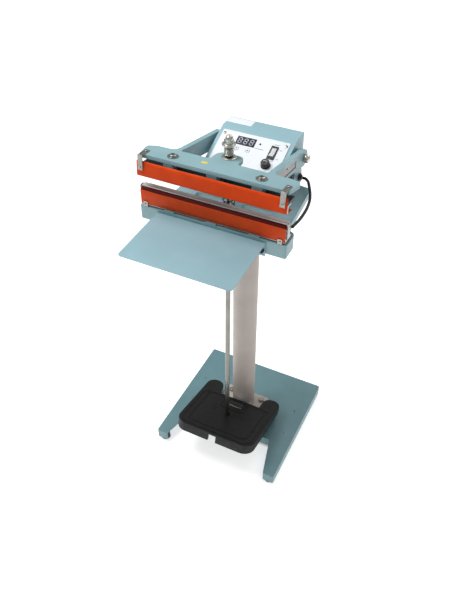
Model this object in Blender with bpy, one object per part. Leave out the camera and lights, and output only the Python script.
"""Foot-operated impulse heat sealer on a pedestal, as an assembly of separate pieces.

Metres, +Z up, +X to the operator's right as seen from the front, the operator stands at -Y.
All places are measured from the column's axis at floor level; the empty "machine" carries that
point to its place behind the middle of the whole object's footprint.
The machine rests with its jaws open. The upper jaw is drawn closed, square to the lower one,
and turned up about its pivot.
"""

import math

import bmesh
import bpy
from mathutils import Matrix, Vector

GAP = 0.0003  # air between pieces that touch

# Base, column and pedal
COLUMN_Y = 0.088  # how far the column stands behind the middle of the footprint
BASE_HALF_WIDTH = 0.1815
BASE_BACK = 0.163
BASE_FRONT = -0.197
BASE_TOP = 0.038
BASE_LIP = 0.028
BASE_SHEET = 0.0025
BASE_HOLE_X = 0.148
BASE_HOLE_Y = (-0.047, 0.040)
TOE_WIDTH = 0.031  # width of a front leg at its end
CROTCH_X = 0.1225  # where a front leg leaves the plate
CROTCH_Y = -0.0875
FOOT_RADIUS = 0.0130
COLUMN_RADIUS = 0.03175
COLUMN_WALL = 0.0025
FLANGE_TOP = 0.0523
PEDAL_PIVOT = Vector((0, -0.011, 0.071))
PEDAL_TILT = math.radians(13.3)
PEDAL_HALF_WIDTH = 0.115
PEDAL_FRONT = -0.200
PEDAL_TOP = 0.014  # the tread's height over its hinge pins
PEDAL_PLATE = 0.006
EAR_CENTRE_X = 0.090
EAR_RADIUS = 0.025
ROD_NUT_Y = -0.1013  # where the rod's nut hangs under the tread, from the hinge pins

# Pull rod, drawn along its own axis from the ball nut under the pedal
ROD_RADIUS = 0.006
ROD_TILT = math.radians(1.06)

# Lower frame and lower jaw
FRAME_PLATE_LOW = 0.774
FRAME_PLATE_TOP = 0.790
BAR_HALF = 0.1675
BAR_FRONT = -0.182
BAR_BACK = -0.131
BAR_LOW = 0.772
BAR_TOP = 0.804
JAW_HALF = 0.1635
JAW_TOP = 0.850  # where the two jaws meet
CLOTH = 0.0006
PAD_X = (-0.097, 0.0, 0.097)  # the pads that carry each jaw

# Upper jaw, closed
UPPER_BAR_TOP = 0.8735
JAW_PIVOT = Vector((0, 0.055, 0.862))
JAW_OPENING = math.radians(6.5)
PLATE_TOP = 0.8965
PLATE_LOW = 0.8885
PLATE_FRONT = -0.1775
PLATE_BACK = -0.124
SCREW_Y = -0.1565
BOSS_DROP = 0.004  # how far the boss hangs under the plate
BOSS_REST_HEIGHT = 0.911  # height of the boss's middle while the jaws are open
ARM_INNER = 0.096
ARM_OUTER = 0.108

# Control box
BOX_HALF = 0.0889
BOX_BACK = 0.098
BOX_TOP = 0.899
BOX_BEND_Y = 0.057
BOX_FRONT = -0.062
BOX_SLOPE = math.atan(0.44)
BOX_SHEET = 0.0012

# Tray
TRAY_HALF = 0.1247
TRAY_FRONT = -0.339
TRAY_BACK = -0.1838
TRAY_BACK_TOP = 0.7985
TRAY_SLOPE = math.radians(1.8)
TRAY_SHEET = 0.0015


def linear(hex_colour):
    """An sRGB hex colour as linear RGBA."""
    channels = [int(hex_colour[i : i + 2], 16) / 255 for i in (0, 2, 4)]
    return [c / 12.92 if c <= 0.04045 else ((c + 0.055) / 1.055) ** 2.4 for c in channels] + [1]


def finish(name, hex_colour, roughness, metallic=0.0):
    material = bpy.data.materials.new(name)
    material.use_nodes = True
    shader = material.node_tree.nodes["Principled BSDF"]
    shader.inputs["Base Color"].default_value = linear(hex_colour)
    shader.inputs["Roughness"].default_value = roughness
    shader.inputs["Metallic"].default_value = metallic
    return material


def empty(name, parent=None, location=(0, 0, 0), turn_x=0.0):
    thing = bpy.data.objects.new(name, None)
    bpy.context.collection.objects.link(thing)
    thing.parent = parent
    thing.location = location
    thing.rotation_euler = (turn_x, 0, 0)
    return thing


def solid(name, mesh, material, parent, location=(0, 0, 0), smooth=False):
    """A named object of one bmesh, with its faces turned outwards."""
    bmesh.ops.recalc_face_normals(mesh, faces=mesh.faces)
    data = bpy.data.meshes.new(name)
    mesh.to_mesh(data)
    mesh.free()
    data.materials.append(material)
    if smooth:
        data.shade_smooth()
        data.set_sharp_from_angle(angle=math.radians(35))
    thing = bpy.data.objects.new(name, data)
    bpy.context.collection.objects.link(thing)
    thing.parent = parent
    thing.location = location
    return thing


def helper(mesh, parent, location=(0, 0, 0)):
    """A shape that cuts or joins another one and isn't a piece itself."""
    thing = solid("helper", mesh, HELPER, parent, location)
    thing.hide_render = True
    thing.display_type = "WIRE"
    return thing


def combine(target, operation, *operands):
    for operand in operands:
        modifier = target.modifiers.new(operation.lower(), "BOOLEAN")
        modifier.operation = operation
        modifier.solver = "EXACT"
        modifier.object = operand


def cut(target, *cutters):
    combine(target, "DIFFERENCE", *cutters)


def join(target, *others):
    combine(target, "UNION", *others)


def rounded(corners, steps=4):
    """An outline whose corners (a, b, radius) become arcs; a radius of 0 stays sharp."""
    points = []
    count = len(corners)
    for index, (a, b, radius) in enumerate(corners):
        here = Vector((a, b))
        before = Vector(corners[index - 1][:2]) - here
        after = Vector(corners[(index + 1) % count][:2]) - here
        if radius <= 0:
            points.append(here)
            continue
        half = before.angle(after) / 2
        inward = (before.normalized() + after.normalized()).normalized()
        centre = here + inward * radius / math.sin(half)
        start = here + before.normalized() * radius / math.tan(half) - centre
        end = here + after.normalized() * radius / math.tan(half) - centre
        sweep = start.angle_signed(end)
        for step in range(steps + 1):
            points.append(centre + Matrix.Rotation(-sweep * step / steps, 2) @ start)
    return points


def inset(corners, distance):
    """The corners (a, b, radius) of an anticlockwise outline moved inwards."""
    moved = []
    count = len(corners)
    for index, (a, b, radius) in enumerate(corners):
        here = Vector((a, b))
        along_in = (here - Vector(corners[index - 1][:2])).normalized()
        along_out = (Vector(corners[(index + 1) % count][:2]) - here).normalized()
        side_in = Vector((-along_in.y, along_in.x))
        side_out = Vector((-along_out.y, along_out.x))
        shift = (side_in + side_out) * distance / (1 + side_in.dot(side_out))
        convex = along_in.cross(along_out) > 0
        new_radius = radius - distance if convex else radius + distance
        moved.append((a + shift.x, b + shift.y, max(new_radius, 0) if radius else 0))
    return moved


def mirrored(corners):
    """The right half of an outline, listed from back to front, with its left half added."""
    return corners + [(-a, b, radius) for a, b, radius in reversed(corners)]


def prism(outline, low, high, axis="Z"):
    """The outline drawn across an axis and stretched along it. Across X the outline is (y, z)."""
    mesh = bmesh.new()
    place = {
        "Z": lambda a, b, along: (a, b, along),
        "X": lambda a, b, along: (along, a, b),
        "Y": lambda a, b, along: (a, along, b),
    }[axis]
    verts = [mesh.verts.new(place(point[0], point[1], low)) for point in outline]
    face = mesh.faces.new(verts)
    grown = bmesh.ops.extrude_face_region(mesh, geom=[face])
    moved = [v for v in grown["geom"] if isinstance(v, bmesh.types.BMVert)]
    bmesh.ops.translate(mesh, verts=moved, vec=place(0, 0, high - low))
    return mesh


def block(low, high):
    (x0, y0, z0), (x1, y1, z1) = low, high
    return prism([(x0, y0), (x1, y0), (x1, y1), (x0, y1)], z0, z1)


def turned(profile, segments, axis="Z", centre=(0, 0, 0)):
    """A profile (radius, along) turned about an axis through centre.

    A profile that starts and ends on the axis is closed by it; any other is joined end to start.
    """
    mesh = bmesh.new()
    verts = [mesh.verts.new((radius, 0, along)) for radius, along in profile]
    edges = [mesh.edges.new(pair) for pair in zip(verts, verts[1:])]
    if profile[0][0] > 0:
        edges.append(mesh.edges.new((verts[-1], verts[0])))
    bmesh.ops.spin(
        mesh,
        geom=verts + edges,
        cent=(0, 0, 0),
        axis=(0, 0, 1),
        angle=math.tau,
        steps=segments,
        use_merge=True,
    )
    bmesh.ops.remove_doubles(mesh, verts=mesh.verts, dist=1e-6)
    facing = {
        "Z": Matrix.Identity(4),
        "X": Matrix.Rotation(math.pi / 2, 4, "Y"),
        "-X": Matrix.Rotation(-math.pi / 2, 4, "Y"),
        "Y": Matrix.Rotation(-math.pi / 2, 4, "X"),
        "-Y": Matrix.Rotation(math.pi / 2, 4, "X"),
    }[axis]
    bmesh.ops.transform(mesh, matrix=Matrix.Translation(centre) @ facing, verts=mesh.verts)
    return mesh


def rod(radius, low, high, segments, axis="Z", centre=(0, 0, 0)):
    return turned([(0, low), (radius, low), (radius, high), (0, high)], segments, axis, centre)


def coil(radius, wire, pitch, turns, base, steps_per_turn=12, sides=6):
    """A compression spring along Z: a round wire swept up a helix, capped at both ends."""
    mesh = bmesh.new()
    rings = []
    for step in range(int(turns * steps_per_turn) + 1):
        angle = math.tau * step / steps_per_turn
        outward = Vector((math.cos(angle), math.sin(angle), 0))
        centre = outward * radius + Vector((0, 0, base + pitch * angle / math.tau))
        ring = []
        for side in range(sides):
            turn = math.tau * side / sides
            offset = outward * wire * math.cos(turn) + Vector((0, 0, wire * math.sin(turn)))
            ring.append(mesh.verts.new(centre + offset))
        rings.append(ring)
    mesh.faces.new(rings[0])
    mesh.faces.new(rings[-1])
    for lower, upper in zip(rings, rings[1:]):
        for side in range(sides):
            after = (side + 1) % sides
            mesh.faces.new((lower[side], lower[after], upper[after], upper[side]))
    return mesh


# ---------------------------------------------------------------- base, feet and column


def base_corners():
    toe = BASE_HALF_WIDTH - TOE_WIDTH
    right = [
        (BASE_HALF_WIDTH, BASE_BACK, 0.005),
        (BASE_HALF_WIDTH, BASE_FRONT, 0.005),
        (toe, BASE_FRONT, 0.004),
        (CROTCH_X, CROTCH_Y, 0.004),
    ]
    return list(reversed(mirrored(right)))


def make_base(machine):
    """Pressed steel plate with a folded edge, open underneath, and two tapering front legs."""
    corners = base_corners()
    low = BASE_TOP - BASE_LIP
    plate = solid("base_plate", prism(rounded(corners), low, BASE_TOP), TEAL, machine)
    hollow = prism(rounded(inset(corners, BASE_SHEET)), low - 0.01, BASE_TOP - BASE_SHEET)
    cut(plate, helper(hollow, machine))
    toe = BASE_HALF_WIDTH - TOE_WIDTH
    back, front = CROTCH_Y - 0.004, BASE_FRONT + 0.004
    for sign in (-1, 1):
        open_edge = [(sign * (CROTCH_X + 0.008), back), (sign * (toe + 0.006), front),
                     (sign * (toe - 0.012), front), (sign * (CROTCH_X - 0.012), back)]
        cut(plate, helper(prism(open_edge, low - 0.01, BASE_TOP - BASE_SHEET), machine))
    for x in (-BASE_HOLE_X, BASE_HOLE_X):
        for y in BASE_HOLE_Y:
            hole = rod(0.0022, BASE_TOP - 0.01, BASE_TOP + 0.01, 16, centre=(x, y, 0))
            cut(plate, helper(hole, machine))


def make_feet(machine):
    """Moulded rubber feet, screwed up into the corners of the base."""
    height = BASE_TOP - BASE_SHEET - GAP
    profile = [
        (0, 0),
        (FOOT_RADIUS - 0.001, 0),
        (FOOT_RADIUS, 0.001),
        (FOOT_RADIUS - 0.0012, 0.012),
        (FOOT_RADIUS - 0.0012, height),
        (0, height),
    ]
    places = {
        "foot_front_left": (-0.1640, -0.1810),
        "foot_front_right": (0.1640, -0.1810),
        "foot_rear_left": (-0.160, 0.141),
        "foot_rear_right": (0.160, 0.141),
    }
    for name, (x, y) in places.items():
        solid(name, turned(profile, 24), RUBBER, machine, (x, y, 0), smooth=True)


def make_column(machine):
    """Round steel tube between a foot flange on the base and a flange under the frame."""
    flange = rounded([(-0.065, -0.04, 0.006), (0.065, -0.04, 0.006),
                      (0.065, 0.04, 0.006), (-0.065, 0.04, 0.006)])
    solid("column_foot_flange", prism(flange, BASE_TOP + GAP, FLANGE_TOP), CREAM, machine)
    low = FLANGE_TOP + GAP
    high = FRAME_PLATE_LOW - 0.0086
    inner = COLUMN_RADIUS - COLUMN_WALL
    wall = [(COLUMN_RADIUS, high), (COLUMN_RADIUS, low), (inner, low), (inner, high)]
    solid("column", turned(wall, 40), CREAM, machine, smooth=True)
    top = rounded([(-0.055, -0.05, 0.005), (0.055, -0.05, 0.005),
                   (0.055, 0.05, 0.005), (-0.055, 0.05, 0.005)])
    top_plate = prism(top, high + GAP, FRAME_PLATE_LOW - GAP)
    solid("column_top_flange", top_plate, CREAM, machine)


# ---------------------------------------------------------------- pedal and pull rod


def pedal_corners():
    inner = EAR_CENTRE_X - EAR_RADIUS
    tip = EAR_RADIUS - 0.0003
    right = [
        (inner, -0.027, 0.003),
        (inner, EAR_RADIUS, tip),
        (PEDAL_HALF_WIDTH, EAR_RADIUS, tip),
        (PEDAL_HALF_WIDTH, PEDAL_FRONT, 0.032),
    ]
    return list(reversed(mirrored(right)))


def pedal_skirt(y):
    """Height of the skirt's lower edge over the hinge pins: deeper towards the toe."""
    return -0.006 + 0.007 * y / -PEDAL_FRONT


def sloped_prism(outline, high):
    """A prism whose underside follows the pedal's skirt."""
    mesh = prism(outline, 0, high)
    for vert in mesh.verts:
        if vert.co.z < high / 2:
            vert.co.z = pedal_skirt(vert.co.y)
    return mesh


def make_pedal(machine):
    """Cast-iron pedal: a ribbed tray turned upside down, forked at the back round the column."""
    pedal_axis = empty("pedal_axis", machine, PEDAL_PIVOT, -PEDAL_TILT)
    corners = pedal_corners()
    pedal = solid("pedal", sloped_prism(rounded(corners, 6), PEDAL_TOP), IRON, pedal_axis)
    hollow = prism(rounded(inset(corners, 0.007), 6), -0.05, PEDAL_TOP - PEDAL_PLATE)
    slot = block((-0.023, -0.062, -0.05), (0.023, -0.040, 0.05))
    hole = rod(0.0080, -0.05, 0.05, 20, centre=(0, ROD_NUT_Y - 0.0016, 0))
    notch = block((-0.0115, PEDAL_FRONT - 0.01, -0.05), (0.0115, PEDAL_FRONT + 0.012, 0.0085))
    pins = rod(0.0043, -0.2, 0.2, 16, axis="X")
    for cutter in (hollow, slot, hole, notch, pins):
        cut(pedal, helper(cutter, pedal_axis))
    rib_left = block((-0.050, PEDAL_FRONT + 0.004, 0.0), (-0.046, -0.030, PEDAL_TOP - 0.004))
    rib_right = block((0.046, PEDAL_FRONT + 0.004, 0.0), (0.050, -0.030, PEDAL_TOP - 0.004))
    join(pedal, helper(rib_left, pedal_axis), helper(rib_right, pedal_axis))
    return pedal_axis


def make_pedal_hinges(machine):
    """A lug on the base and a steel pin for each ear of the pedal."""
    lug_half = 0.006
    radius = 0.0068
    pivot = PEDAL_PIVOT
    for side, sign in (("left", -1), ("right", 1)):
        arc = []
        for step in range(9):
            angle = math.pi * step / 8
            arc.append((pivot.y + radius * math.cos(angle), pivot.z + radius * math.sin(angle)))
        outline = arc + [(pivot.y - 0.016, BASE_TOP + GAP), (pivot.y + 0.016, BASE_TOP + GAP)]
        x = sign * EAR_CENTRE_X
        lug = prism(outline, x - lug_half, x + lug_half, "X")
        bracket = solid(f"pedal_bracket_{side}", lug, STEEL, machine)
        bore = rod(0.0043, x - 0.02, x + 0.02, 16, "X", (0, pivot.y, pivot.z))
        cut(bracket, helper(bore, machine))
        pin = rod(0.004, x - 0.0245, x + 0.0245, 16, "X", (0, pivot.y, pivot.z))
        solid(f"pedal_pin_{side}", pin, STEEL, machine, smooth=True)


def rod_foot():
    """Centre of the ball nut that hangs in the pedal's hole, in the machine's frame."""
    turn = Matrix.Rotation(-PEDAL_TILT, 3, "X")
    return PEDAL_PIVOT + turn @ Vector((0, ROD_NUT_Y, 0))


def along_rod(height):
    """Distance along the rod, from its ball nut, of a height over the floor."""
    return (height - rod_foot().z) / math.cos(ROD_TILT)


def rod_y(height):
    """Where the leaning rod stands at a height over the floor."""
    return rod_foot().y + math.tan(ROD_TILT) * (height - rod_foot().z)


def make_pull_rod(machine):
    """Chromed pull rod with a ball nut at its foot, and the spring, adjuster and cap at its top."""
    rod_axis = empty("rod_axis", machine, rod_foot(), -ROD_TILT)
    bore = ROD_RADIUS + GAP
    spring_low = along_rod(0.9186)
    collar_low = along_rod(0.9385)
    cap_low = along_rod(0.9470)
    top = cap_low + 0.009
    solid("pull_rod", rod(ROD_RADIUS, -0.016, top, 24), CHROME, rod_axis, smooth=True)

    ball = 0.010
    seat = [
        (ball * math.cos(angle), ball * math.sin(angle))
        for angle in (math.radians(a) for a in (0, 12, 24, 36, 48))
    ]
    neck = math.sqrt(ball**2 - bore**2) - 0.0003
    nut = [(bore, neck), *reversed(seat), (ball, -0.009), (bore, -0.009)]
    solid("rod_end_nut", turned(nut, 20), STEEL, rod_axis, smooth=True)

    turns = 5.0
    wire = 0.0012
    pitch = (collar_low - spring_low - 2 * wire) / turns
    spring = coil(0.0086, wire, pitch, turns, spring_low + wire)
    solid("pressure_spring", spring, CHROME, rod_axis, smooth=True)

    collar = [
        (bore, collar_low + 0.0003),
        (0.0108, collar_low + 0.0003),
        (0.0108, collar_low + 0.0030),
        (0.0145, collar_low + 0.0038),
        (0.0145, collar_low + 0.0056),
        (0.0100, collar_low + 0.0064),
        (0.0100, collar_low + 0.0082),
        (bore, collar_low + 0.0082),
    ]
    solid("spring_adjuster", turned(collar, 24), CHROME, rod_axis, smooth=True)

    cap = [
        (bore, cap_low),
        (0.0096, cap_low),
        (0.0096, cap_low + 0.0065),
        (0.0086, cap_low + 0.0072),
        (0.0080, cap_low + 0.0120),
        (0.0055, cap_low + 0.0148),
        (0, cap_low + 0.0160),
        (0, cap_low + 0.0093),
        (bore, cap_low + 0.0093),
    ]
    solid("acorn_nut", turned_open(cap, 12), CHROME, rod_axis, smooth=True)


def turned_open(profile, segments):
    """A turned shape whose profile leaves the axis, runs to it and comes back, as a blind cap does."""
    mesh = bmesh.new()
    verts = [mesh.verts.new((radius, 0, along)) for radius, along in profile]
    edges = []
    for first, second in zip(verts, verts[1:] + verts[:1]):
        if first.co.x > 0 or second.co.x > 0:
            edges.append(mesh.edges.new((first, second)))
    bmesh.ops.spin(mesh, geom=verts + edges, cent=(0, 0, 0), axis=(0, 0, 1), angle=math.tau,
                   steps=segments, use_merge=True)
    bmesh.ops.remove_doubles(mesh, verts=mesh.verts, dist=1e-6)
    return mesh


# ---------------------------------------------------------------- lower frame and lower jaw


def frame_corners():
    """Plan of the frame's plate: two arms that reach forward on both sides of the deck."""
    right = [
        (0.090, 0.098, 0.004),
        (0.090, 0.060, 0.006),
        (0.130, 0.056, 0.012),
        (0.140, -0.085, 0.060),
        (0.158, -0.150, 0.004),
    ]
    return list(reversed(mirrored(right)))


def post_outline():
    """Side view of a pivot post, with a round head at the jaw's pivot."""
    radius = 0.0165
    head = []
    for step in range(9):
        angle = math.pi * step / 8
        head.append((JAW_PIVOT.y + radius * math.cos(angle), JAW_PIVOT.z + radius * math.sin(angle)))
    return head + [(0.030, FRAME_PLATE_TOP - 0.004), (0.086, FRAME_PLATE_TOP - 0.004)]


def make_lower_frame(machine):
    """One casting: front bar, arms, deck for the box, spring seat and the two pivot posts."""
    bar = rounded([(-BAR_HALF, BAR_FRONT, 0.004), (BAR_HALF, BAR_FRONT, 0.004),
                   (BAR_HALF, BAR_BACK, 0.014), (-BAR_HALF, BAR_BACK, 0.014)])
    frame = solid("lower_frame", prism(bar, BAR_LOW, BAR_TOP), TEAL, machine)
    plate = prism(rounded(frame_corners(), 5), FRAME_PLATE_LOW, FRAME_PLATE_TOP)
    join(frame, helper(plate, machine))
    for sign in (-1, 1):
        sides = sorted((sign * 0.0895, sign * 0.0954))
        join(frame, helper(prism(post_outline(), *sides, "X"), machine))
        window = sorted((sign * 0.020, sign * 0.092))
        opening = block((window[0], BAR_BACK + 0.004, 0.7), (window[1], -0.066, 0.9))
        cut(frame, helper(opening, machine))
        centre = (0, JAW_PIVOT.y, JAW_PIVOT.z)
        bore = rod(0.0053, sign * 0.1 - 0.03, sign * 0.1 + 0.03, 20, "X", centre)
        cut(frame, helper(bore, machine))
        bolt = rod(0.0033, -0.19, -0.170, 12, "Y", (sign * 0.117, 0, 0.780))
        cut(frame, helper(bolt, machine))
    pocket = rounded([(-0.152, BAR_FRONT + 0.008, 0.004), (0.152, BAR_FRONT + 0.008, 0.004),
                      (0.152, -0.150, 0.004), (-0.152, -0.150, 0.004)], 2)
    cut(frame, helper(prism(pocket, 0.7, BAR_TOP - 0.008), machine))
    slot = rounded([(-0.0085, -0.113, 0.008), (0.0085, -0.113, 0.008),
                    (0.0085, -0.086, 0.008), (-0.0085, -0.086, 0.008)])
    cut(frame, helper(prism(slot, 0.7, 0.85), machine))
    for x in PAD_X:
        pad = block((x - 0.012, BAR_FRONT, BAR_TOP - 0.003), (x + 0.012, -0.150, 0.8075))
        join(frame, helper(pad, machine))


def make_lower_jaw(machine):
    """Aluminium bar with its insulating tape, heating ribbon, terminals and PTFE cloth."""
    low = 0.8078
    front = -0.1792
    section = [
        (front, low),
        (-0.150, low),
        (-0.150, low + 0.005),
        (-0.160, low + 0.008),
        (-0.160, JAW_TOP - 0.0016),
        (-0.1711, JAW_TOP - 0.0016),
        (-0.1711, JAW_TOP - 0.0003),
        (-0.1728, JAW_TOP - 0.0003),
        (-0.1728, low + 0.006),
        (-0.1767, low + 0.006),
        (-0.1767, 0.8405),
        (front, 0.8405),
    ]
    solid("lower_jaw_bar", prism(section, -JAW_HALF, JAW_HALF, "X"), ALUMINIUM, machine)
    tape_low, tape_high = JAW_TOP - 0.0013, JAW_TOP - 0.0004
    tape = block((-JAW_HALF + 0.001, -0.1708, tape_low), (JAW_HALF - 0.001, -0.160, tape_high))
    solid("insulating_tape", tape, TAPE, machine)
    ribbon = block((-JAW_HALF, -0.169, JAW_TOP - 0.0001), (JAW_HALF, -0.164, JAW_TOP + 0.0002))
    solid("heating_ribbon", ribbon, STEEL, machine)
    for side, sign in (("left", -1), ("right", 1)):
        inner, outer = sorted((sign * (JAW_HALF + GAP), sign * 0.1665))
        terminal = block((inner, -0.1754, 0.815), (outer, -0.165, JAW_TOP))
        solid(f"ribbon_terminal_{side}", terminal, STEEL, machine)
        clip_in, clip_out = sorted((sign * 0.148, sign * 0.158))
        clip = block((clip_in, -0.1819, 0.8046), (clip_out, -0.1804, 0.8165))
        solid(f"lower_cloth_clip_{side}", clip, STEEL, machine)
    outer = front - GAP - CLOTH
    cloth = [
        (outer, 0.8095),
        (outer + CLOTH, 0.8095),
        (outer + CLOTH, 0.8408),
        (-0.1764, 0.8408),
        (-0.1764, 0.8340),
        (-0.1764 + CLOTH, 0.8340),
        (-0.1764 + CLOTH, 0.8418),
        (outer, 0.8418),
    ]
    solid("lower_cloth", prism(cloth, -0.1645, 0.1645, "X"), CLOTH_ORANGE, machine)


def make_return_spring(machine):
    """Black spring round the rod that lifts the upper jaw off its seat on the frame."""
    wire = 0.0011
    low = FRAME_PLATE_TOP + GAP + wire
    high = BOSS_REST_HEIGHT - 0.0105
    turns = 9.0
    spring = coil(0.0125, wire, (high - low) / turns, turns, low)
    middle = rod_y((low + high) / 2)
    solid("return_spring", spring, BLACK_STEEL, machine, (0, middle, 0), smooth=True)


# ---------------------------------------------------------------- upper jaw


def arm_top(y):
    return 0.8960 - 0.0690 * (y + 0.118)


def arm_bottom(y):
    return 0.8637 - 0.0265 * (y + 0.124)


def boss_y():
    """Where the boss is in the closed jaw, so that the rod runs through it while the jaw rests."""
    at_rest = Vector((0, rod_y(BOSS_REST_HEIGHT), BOSS_REST_HEIGHT)) - JAW_PIVOT
    return (JAW_PIVOT + Matrix.Rotation(JAW_OPENING, 3, "X") @ at_rest).y


def plate_corners():
    """Plan of the upper casting: cross plate, roots of both arms, and the round spring boss."""
    boss = 0.030
    right = [
        (boss, boss_y() + 0.0165, 0.017),
        (boss, PLATE_BACK, 0.007),
        (ARM_INNER + 0.0006, PLATE_BACK, 0.004),
        (ARM_INNER + 0.0006, PLATE_BACK + 0.0145, 0.0),
        (ARM_OUTER - 0.0006, PLATE_BACK + 0.0145, 0.0),
        (ARM_OUTER - 0.0006, PLATE_BACK, 0.014),
        (0.150, PLATE_BACK - 0.002, 0.020),
        (0.1700, PLATE_BACK - 0.011, 0.008),
        (0.1630, PLATE_FRONT, 0.004),
    ]
    return list(reversed(mirrored(right)))


def arm_outline():
    """Side view of an arm: it falls a little towards the round eye at the pivot."""
    radius = 0.019
    eye = []
    for step in range(13):
        angle = math.radians(93 - 205 * step / 12)
        eye.append((JAW_PIVOT.y + radius * math.cos(angle), JAW_PIVOT.z + radius * math.sin(angle)))
    root = -0.132
    return [(root, arm_bottom(root)), (root, PLATE_TOP - 0.004), (-0.110, arm_top(-0.110))] + eye


def side_plate_outline(margin):
    """Side view of the grey plate let into each arm's outer face."""
    rib = 0.0125
    front, back = -0.096 - margin, 0.004 + margin
    low = 0.0006 - 5 * margin
    return [
        (front, arm_top(front) - rib + margin),
        (back, arm_top(back) - rib + margin),
        (back, arm_bottom(back) + low),
        (front, arm_bottom(front) + low),
    ]


def make_upper_casting(closed_jaw, at_pivot):
    """One casting: cross plate with three pads under it, spring boss, and two arms to the pivots."""
    plate = prism(rounded(plate_corners(), 5), PLATE_LOW, PLATE_TOP)
    casting = solid("upper_casting", plate, TEAL, closed_jaw, at_pivot)
    boss = rod(0.016, PLATE_LOW - BOSS_DROP, PLATE_TOP - 0.003, 26, centre=(0, boss_y(), 0))
    join(casting, helper(boss, closed_jaw, at_pivot))
    for x in PAD_X:
        pad = block((x - 0.011, PLATE_FRONT + 0.0004, UPPER_BAR_TOP + GAP),
                    (x + 0.011, -0.150, PLATE_LOW + 0.003))
        join(casting, helper(pad, closed_jaw, at_pivot))
    for sign in (-1, 1):
        inner, outer = sorted((sign * ARM_INNER, sign * ARM_OUTER))
        join(casting, helper(prism(arm_outline(), inner, outer, "X"), closed_jaw, at_pivot))
        recess_in, recess_out = sorted((sign * (ARM_OUTER - 0.003), sign * (ARM_OUTER + 0.01)))
        recess = prism(side_plate_outline(0.0004), recess_in, recess_out, "X")
        eye = rod(0.0053, sign * 0.1 - 0.03, sign * 0.1 + 0.03, 20, "X", JAW_PIVOT)
        screw = rod(0.0033, UPPER_BAR_TOP + 0.0025, 0.95, 12, centre=(sign * PAD_X[2], SCREW_Y, 0))
        for cutter in (recess, eye, screw):
            cut(casting, helper(cutter, closed_jaw, at_pivot))
    hole = rod(0.0088, 0.85, 0.95, 22, centre=(0, boss_y(), 0))
    cut(casting, helper(hole, closed_jaw, at_pivot))


def make_upper_fittings(closed_jaw, at_pivot):
    """What is fastened to the casting: cloth brackets, screws, side plates, spring washer."""
    for side, sign in (("left", -1), ("right", 1)):
        near, far = sorted((sign * 0.1495, sign * 0.1605))
        top = PLATE_TOP + GAP
        back = -0.1868
        low = 0.8655
        angle = [
            (-0.157, top),
            (-0.157, top + 0.0015),
            (back - 0.0015, top + 0.0015),
            (back - 0.0015, low),
            (back, low),
            (back, top),
        ]
        solid(f"cloth_bracket_{side}", prism(angle, near, far, "X"), STEEL, closed_jaw, at_pivot)
        head = [
            (0, UPPER_BAR_TOP + 0.0030),
            (0.0029, UPPER_BAR_TOP + 0.0030),
            (0.0029, PLATE_TOP + GAP),
            (0.0118, PLATE_TOP + GAP),
            (0.0118, PLATE_TOP + 0.0016),
            (0.0078, PLATE_TOP + 0.0016),
            (0.0074, PLATE_TOP + 0.0042),
            (0.0050, PLATE_TOP + 0.0055),
            (0, PLATE_TOP + 0.0058),
        ]
        screw = turned(head, 20, centre=(sign * PAD_X[2], SCREW_Y, 0))
        solid(f"jaw_screw_{side}", screw, STEEL, closed_jaw, at_pivot, smooth=True)
        near, far = sorted((sign * (ARM_OUTER - 0.0027), sign * (ARM_OUTER - 0.0012)))
        side_plate = prism(side_plate_outline(0), near, far, "X")
        solid(f"arm_side_plate_{side}", side_plate, GREY_STEEL, closed_jaw, at_pivot)
    bottom = PLATE_TOP + GAP
    ring = [
        (0.0088, bottom),
        (0.0160, bottom),
        (0.0160, bottom + 0.0014),
        (0.0142, bottom + 0.0022),
        (0.0088, bottom + 0.0022),
    ]
    washer = turned(ring, 24, centre=(0, boss_y(), 0))
    solid("spring_washer", washer, CHROME, closed_jaw, at_pivot, smooth=True)


def make_upper_jaw(closed_jaw, at_pivot):
    """Phenolic bar, silicone pad and PTFE cloth, drawn closed on the lower jaw."""
    front = -0.1846
    low = JAW_TOP + 0.0060
    section = [
        (front, low),
        (-0.146, low),
        (-0.146, UPPER_BAR_TOP),
        (-0.1822, UPPER_BAR_TOP),
        (-0.1822, 0.8842),
        (front, 0.8842),
    ]
    outline = prism(section, -JAW_HALF, JAW_HALF, "X")
    bar = solid("upper_jaw_bar", outline, PHENOLIC, closed_jaw, at_pivot)
    for sign in (-1, 1):
        near, far = sorted((sign * 0.152, sign * 0.180))
        end_relief = block((near, -0.1745, low - 0.01), (far, -0.130, UPPER_BAR_TOP - 0.006))
        cut(bar, helper(end_relief, closed_jaw, at_pivot))
    pad_half = 0.1515
    pad = block((-pad_half, -0.1745, JAW_TOP + 0.0016), (pad_half, -0.1585, low - GAP))
    solid("pressure_pad", pad, SILICONE, closed_jaw, at_pivot)
    skin = front - GAP
    under = JAW_TOP + 0.0007
    cloth = [
        (skin - CLOTH, 0.8850),
        (skin - CLOTH, under),
        (-0.1570, under),
        (-0.1570, under + CLOTH),
        (skin, under + CLOTH),
        (skin, 0.8850),
    ]
    wrap = prism(cloth, -0.1655, 0.1655, "X")
    solid("upper_cloth", wrap, CLOTH_ORANGE, closed_jaw, at_pivot)


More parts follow.
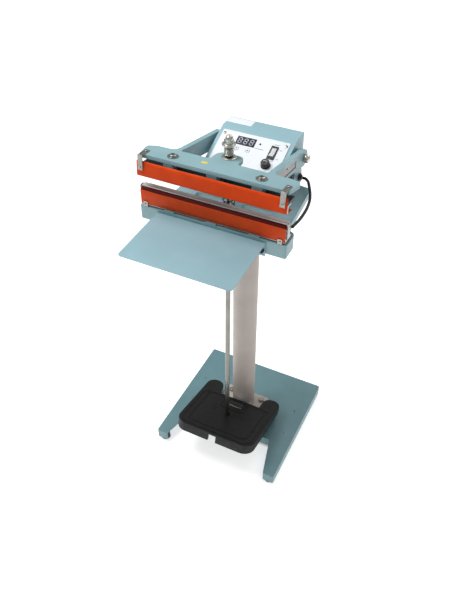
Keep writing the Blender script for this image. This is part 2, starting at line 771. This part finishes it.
def make_pivot_bolts(machine):
    """Chromed dome-headed bolts on which the arms turn."""
    for side, sign in (("left", -1), ("right", 1)):
        profile = [
            (0, 0.0900),
            (0.0050, 0.0900),
            (0.0050, ARM_OUTER + 0.0005),
            (0.0085, ARM_OUTER + 0.0005),
            (0.0085, ARM_OUTER + 0.0022),
            (0.0070, ARM_OUTER + 0.0022),
            (0.0070, ARM_OUTER + 0.0034),
            (0.0095, ARM_OUTER + 0.0034),
            (0.0095, ARM_OUTER + 0.0086),
            (0.0078, ARM_OUTER + 0.0114),
            (0.0045, ARM_OUTER + 0.0130),
            (0, ARM_OUTER + 0.0135),
        ]
        bolt = turned(profile, 20, "X" if sign > 0 else "-X", (0, JAW_PIVOT.y, JAW_PIVOT.z))
        solid(f"pivot_bolt_{side}", bolt, CHROME, machine, smooth=True)


# ---------------------------------------------------------------- control box


def slope_height(y):
    return BOX_TOP - math.tan(BOX_SLOPE) * (BOX_BEND_Y - y)


def make_box(machine, panel_plane):
    """Galvanised tray on the deck and the painted hood that covers it."""
    low = FRAME_PLATE_TOP + GAP
    tray_half = BOX_HALF - BOX_SHEET - 0.0004
    tray_front = BOX_FRONT + BOX_SHEET + 0.0004
    tray_back = BOX_BACK - BOX_SHEET - 0.0004
    rim = 0.840
    chassis = solid(
        "control_box_chassis",
        block((-tray_half, tray_front, low), (tray_half, tray_back, rim)),
        GREY_STEEL,
        machine,
    )
    wall = 0.0015
    inside = block(
        (-tray_half + wall, tray_front + wall, low + wall), (tray_half - wall, tray_back - wall, 0.9)
    )
    cut(chassis, helper(inside, machine))

    hem = 0.834
    hood_side = [
        (BOX_BACK, hem),
        (BOX_BACK, BOX_TOP),
        (BOX_BEND_Y, BOX_TOP),
        (BOX_FRONT, slope_height(BOX_FRONT)),
        (BOX_FRONT, hem),
    ]
    hood = solid("control_box_cover", prism(hood_side, -BOX_HALF, BOX_HALF, "X"), TEAL, machine)
    sheet = BOX_SHEET
    cavity_side = [
        (BOX_BACK - sheet, hem - 0.02),
        (BOX_BACK - sheet, BOX_TOP - sheet),
        (BOX_BEND_Y + 0.0003, BOX_TOP - sheet),
        (BOX_FRONT + sheet, slope_height(BOX_FRONT + sheet) - sheet / math.cos(BOX_SLOPE)),
        (BOX_FRONT + sheet, hem - 0.02),
    ]
    cavity = prism(cavity_side, -BOX_HALF + sheet, BOX_HALF - sheet, "X")
    cut(hood, helper(cavity, machine))
    window = block((-0.070, -0.110, -0.02), (0.070, -0.020, 0.02))
    cut(hood, helper(window, panel_plane))


def make_front_panel(panel_plane):
    """White control panel on the hood's slope, with everything that is set into it."""
    low = GAP
    face = low + 0.0012
    outline = rounded([(-0.0795, -0.122, 0.003), (0.0795, -0.122, 0.003),
                       (0.0795, -0.0135, 0.003), (-0.0795, -0.0135, 0.003)], 3)
    panel = solid("front_panel", prism(outline, low, face), PANEL_WHITE, panel_plane)

    display_low, display_high = (-0.0400, -0.0455), (0.0050, -0.0230)
    cutters = [block((*display_low, -0.01), (*display_high, 0.01))]
    screen = block((display_low[0] + GAP, display_low[1] + GAP, -0.0080),
                   (display_high[0] - GAP, display_high[1] - GAP, face + 0.0006))
    solid("display_window", screen, DISPLAY_DARK, panel_plane)

    for name, x in (("button_down", -0.0310), ("button_up", -0.0045)):
        centre = (x, -0.056, 0)
        cutters.append(rod(0.0050, -0.01, 0.01, 20, centre=centre))
        key = [(0, -0.0008), (0.0046, -0.0008), (0.0046, face + 0.0004), (0.0042, face + 0.0007),
               (0, face + 0.0007)]
        key_axis = empty(f"{name}_axis", panel_plane, centre)
        solid(name, turned(key, 20), PANEL_WHITE, key_axis, smooth=True)

    rocker_x, rocker_y = 0.0508, -0.0475
    cutters.append(block((rocker_x - 0.0070, rocker_y - 0.0155, -0.01),
                         (rocker_x + 0.0070, rocker_y + 0.0155, 0.01)))
    bezel_plan = rounded([(-0.0082, -0.0175, 0.001), (0.0082, -0.0175, 0.001),
                          (0.0082, 0.0175, 0.001), (-0.0082, 0.0175, 0.001)], 2)
    rocker_axis = empty("rocker_axis", panel_plane, (rocker_x, rocker_y, 0.0010))
    at_panel = (0, 0, -0.0010)
    bezel = solid("rocker_frame", prism(bezel_plan, face + GAP, face + 0.0020), BLACK_PLASTIC,
                  rocker_axis, at_panel)
    body = block((-0.0066, -0.0151, -0.0160), (0.0066, 0.0151, face + 0.0010))
    join(bezel, helper(body, rocker_axis, at_panel))
    well = block((-0.0055, -0.0132, -0.0100), (0.0055, 0.0132, 0.0300))
    cut(bezel, helper(well, rocker_axis, at_panel))
    top = 0.0036
    rocker_side = [(-0.0122, top), (-0.0112, -0.0045), (0.0112, -0.0045), (0.0122, top), (0, top - 0.0018)]
    rocker_tilt = empty("rocker_tilt_axis", rocker_axis, (0, 0, 0), math.radians(-8))
    solid("rocker", prism(rocker_side, -0.0051, 0.0051, "X"), ROCKER_GREY, rocker_tilt)

    fuse_axis = empty("fuse_axis", panel_plane, (0.0483, -0.0815, 0))
    cutters.append(rod(0.0070, -0.01, 0.01, 20, centre=(0.0483, -0.0815, 0)))
    holder = [
        (0.0053, face + 0.0020),
        (0.0106, face + 0.0020),
        (0.0110, face + GAP),
        (0.0066, face + GAP),
        (0.0066, -0.0220),
        (0.0053, -0.0220),
    ]
    solid("fuse_holder", turned(holder, 24), BLACK_PLASTIC, fuse_axis, smooth=True)
    cap = [
        (0, -0.0060),
        (0.0049, -0.0060),
        (0.0049, face + 0.0024),
        (0.0097, face + 0.0024),
        (0.0094, face + 0.0100),
        (0.0082, face + 0.0120),
        (0, face + 0.0120),
    ]
    knob = solid("fuse_cap", turned(cap, 24), BLACK_PLASTIC, fuse_axis, smooth=True)
    coin_slot = block((-0.0008, -0.0070, face + 0.0108), (0.0008, 0.0070, 0.03))
    cut(knob, helper(coin_slot, fuse_axis))

    for cutter in cutters:
        cut(panel, helper(cutter, panel_plane))


def make_box_contents(machine, panel_plane):
    """Transformer, timer board, and the switch that the closing jaw works."""
    floor = FRAME_PLATE_TOP + GAP + 0.0015 + GAP
    core = block((-0.038, -0.006, floor), (0.038, 0.056, floor + 0.046))
    transformer = solid("transformer", core, BLACK_STEEL, machine)
    winding = rounded([(-0.024, -0.020, 0.006), (0.024, -0.020, 0.006),
                       (0.024, 0.070, 0.006), (-0.024, 0.070, 0.006)], 3)
    join(transformer, helper(prism(winding, floor + 0.009, floor + 0.038), machine))
    board = block((-0.062, -0.100, -0.0235), (0.036, -0.024, -0.0219))
    solid("timer_board", board, BOARD_GREEN, panel_plane)
    switch = block((0.060, -0.050, floor), (0.078, -0.020, floor + 0.014))
    solid("closing_switch", switch, BLACK_PLASTIC, machine)


def make_glands(machine):
    """Screwed glands: one at the back for the supply lead, one at the side for the jaw's lead."""
    supply = [
        (0.0036, 0.0001),
        (0.0100, 0.0001),
        (0.0100, 0.0045),
        (0.0080, 0.0055),
        (0.0080, 0.0120),
        (0.0060, 0.0170),
        (0.0036, 0.0170),
    ]
    back = (-0.050, BOX_BACK - BOX_SHEET, 0.812)
    solid("supply_gland", turned(supply, 20, "Y", back), BLACK_PLASTIC, machine, smooth=True)
    jaw = [
        (0, GAP),
        (0.0090, GAP),
        (0.0090, 0.0035),
        (0.0070, 0.0042),
        (0.0070, 0.0058),
        (0.0045, 0.0078),
        (0, 0.0078),
    ]
    side = (0.0954, 0.066, 0.806)
    solid("jaw_cable_gland", turned(jaw, 20, "X", side), BLACK_PLASTIC, machine, smooth=True)


CABLE_RADIUS = 0.0032
CABLE_ROUTE = [
    (0.1046, 0.0660, 0.8060),
    (0.1110, 0.0655, 0.8062),
    (0.1225, 0.0520, 0.8085),
    (0.1335, 0.0300, 0.8100),
    (0.1435, 0.0080, 0.8118),
    (0.1545, -0.0230, 0.8143),
    (0.1622, -0.0590, 0.8182),
    (0.1662, -0.0950, 0.8232),
    (0.1678, -0.1200, 0.8275),
    (0.1680, -0.1400, 0.8315),
    (0.1680, -0.1570, 0.8350),
]


def smooth_route(route, spacing):
    """Points every spacing along a Catmull-Rom curve through the route."""
    knots = [Vector(point) for point in route]
    knots = [2 * knots[0] - knots[1], *knots, 2 * knots[-1] - knots[-2]]
    dense = []
    for a, b, c, d in zip(knots, knots[1:], knots[2:], knots[3:]):
        for step in range(20):
            t = step / 20
            dense.append(
                0.5 * (2 * b + (c - a) * t + (2 * a - 5 * b + 4 * c - d) * t**2
                       + (3 * b - a - 3 * c + d) * t**3)
            )
    dense.append(knots[-2])
    points = [dense[0]]
    walked = 0.0
    for before, here in zip(dense, dense[1:]):
        walked += (here - before).length
        if walked >= spacing:
            points.append(here)
            walked = 0.0
    points[-1] = dense[-1]
    return points


def make_jaw_cable(machine):
    """Rubber-covered lead from the box to the right end of the heating ribbon."""
    curve = bpy.data.curves.new("jaw_cable", "CURVE")
    curve.dimensions = "3D"
    curve.bevel_depth = CABLE_RADIUS
    curve.bevel_resolution = 2
    curve.use_fill_caps = True
    points = smooth_route(CABLE_ROUTE, 0.0125)
    spline = curve.splines.new("POLY")
    spline.points.add(len(points) - 1)
    for slot, point in zip(spline.points, points):
        slot.co = (*point, 1)
    curve.materials.append(RUBBER)
    cable = bpy.data.objects.new("jaw_cable", curve)
    bpy.context.collection.objects.link(cable)
    cable.parent = machine


# ---------------------------------------------------------------- tray


def make_tray(machine):
    """Sheet-steel work tray, folded down at the back and bolted to the frame's front bar."""
    tray_plane = empty("tray_plane", machine, (0, TRAY_BACK, TRAY_BACK_TOP), TRAY_SLOPE)
    length = (TRAY_BACK - TRAY_FRONT) / math.cos(TRAY_SLOPE)
    fold = 0.0007
    plan = rounded([(-TRAY_HALF, -length, 0.008), (TRAY_HALF, -length, 0.008),
                    (TRAY_HALF, fold, 0), (-TRAY_HALF, fold, 0)])
    tray = solid("tray", prism(plan, -TRAY_SHEET, 0), TEAL, tray_plane)
    drop_half = TRAY_HALF - fold
    drop = block((-drop_half, TRAY_BACK - 0.0001, 0.766),
                 (drop_half, TRAY_BACK + 0.0014, TRAY_BACK_TOP - fold))
    join(tray, helper(drop, machine))
    for side, sign in (("left", -1), ("right", 1)):
        x = sign * 0.117
        bore = rod(0.0034, -0.2, -0.15, 12, "Y", (x, 0, 0.780))
        cut(tray, helper(bore, machine))
        head = TRAY_BACK - 0.0001 - GAP
        profile = [(0, -0.174), (0.0028, -0.174), (0.0028, head), (0.0052, head), (0.0052, head - 0.005),
                   (0, head - 0.005)]
        bolt = turned(profile, 16, "Y", (x, 0, 0.780))
        solid(f"tray_bolt_{side}", bolt, BLACK_STEEL, machine, smooth=True)


for thing in list(bpy.data.objects):
    bpy.data.objects.remove(thing)

HELPER = finish("helper", "808080", 0.5)
TEAL = finish("teal_enamel", "8fb3bd", 0.42)
CREAM = finish("cream_powder_coat", "cfc8c0", 0.5)
IRON = finish("black_cast_iron", "242427", 0.6)
RUBBER = finish("black_rubber", "161616", 0.7)
CHROME = finish("chrome", "c9c8c2", 0.12, 1.0)
STEEL = finish("zinc_plated_steel", "b9b7b0", 0.3, 1.0)
BLACK_STEEL = finish("black_oxide_steel", "1d1d1f", 0.4, 0.6)
GREY_STEEL = finish("grey_sheet_steel", "a8a2a0", 0.45, 0.3)
ALUMINIUM = finish("extruded_aluminium", "bdbcb8", 0.35, 1.0)
TAPE = finish("glass_cloth_tape", "bab6b2", 0.6)
CLOTH_ORANGE = finish("ptfe_glass_cloth", "b8431c", 0.35)
SILICONE = finish("red_silicone_rubber", "8a2a20", 0.6)
PANEL_WHITE = finish("white_panel_film", "f0f3f7", 0.35)
DISPLAY_DARK = finish("smoked_display", "3a3d46", 0.15)
BLACK_PLASTIC = finish("black_plastic", "18181a", 0.4)
PHENOLIC = finish("black_phenolic", "1b1a1a", 0.45)
ROCKER_GREY = finish("pale_grey_plastic", "cfd0d0", 0.35)
BOARD_GREEN = finish("green_circuit_board", "2f5a3a", 0.5)

machine_origin = empty("machine", None, (0, COLUMN_Y, 0))
jaw_pivot_empty = empty("jaw_axis", machine_origin, JAW_PIVOT)
closed_jaw_empty = empty("closed_jaw", jaw_pivot_empty, (0, 0, 0), -JAW_OPENING)
panel_empty = empty("panel_plane", machine_origin, (0, BOX_BEND_Y, BOX_TOP), BOX_SLOPE)
from_pivot = -JAW_PIVOT

make_base(machine_origin)
make_feet(machine_origin)
make_column(machine_origin)
make_pedal(machine_origin)
make_pedal_hinges(machine_origin)
make_pull_rod(machine_origin)
make_lower_frame(machine_origin)
make_lower_jaw(machine_origin)
make_return_spring(machine_origin)
make_upper_casting(closed_jaw_empty, from_pivot)
make_upper_fittings(closed_jaw_empty, from_pivot)
make_upper_jaw(closed_jaw_empty, from_pivot)
make_pivot_bolts(machine_origin)
make_box(machine_origin, panel_empty)
make_front_panel(panel_empty)
make_box_contents(machine_origin, panel_empty)
make_glands(machine_origin)
make_jaw_cable(machine_origin)
make_tray(machine_origin)
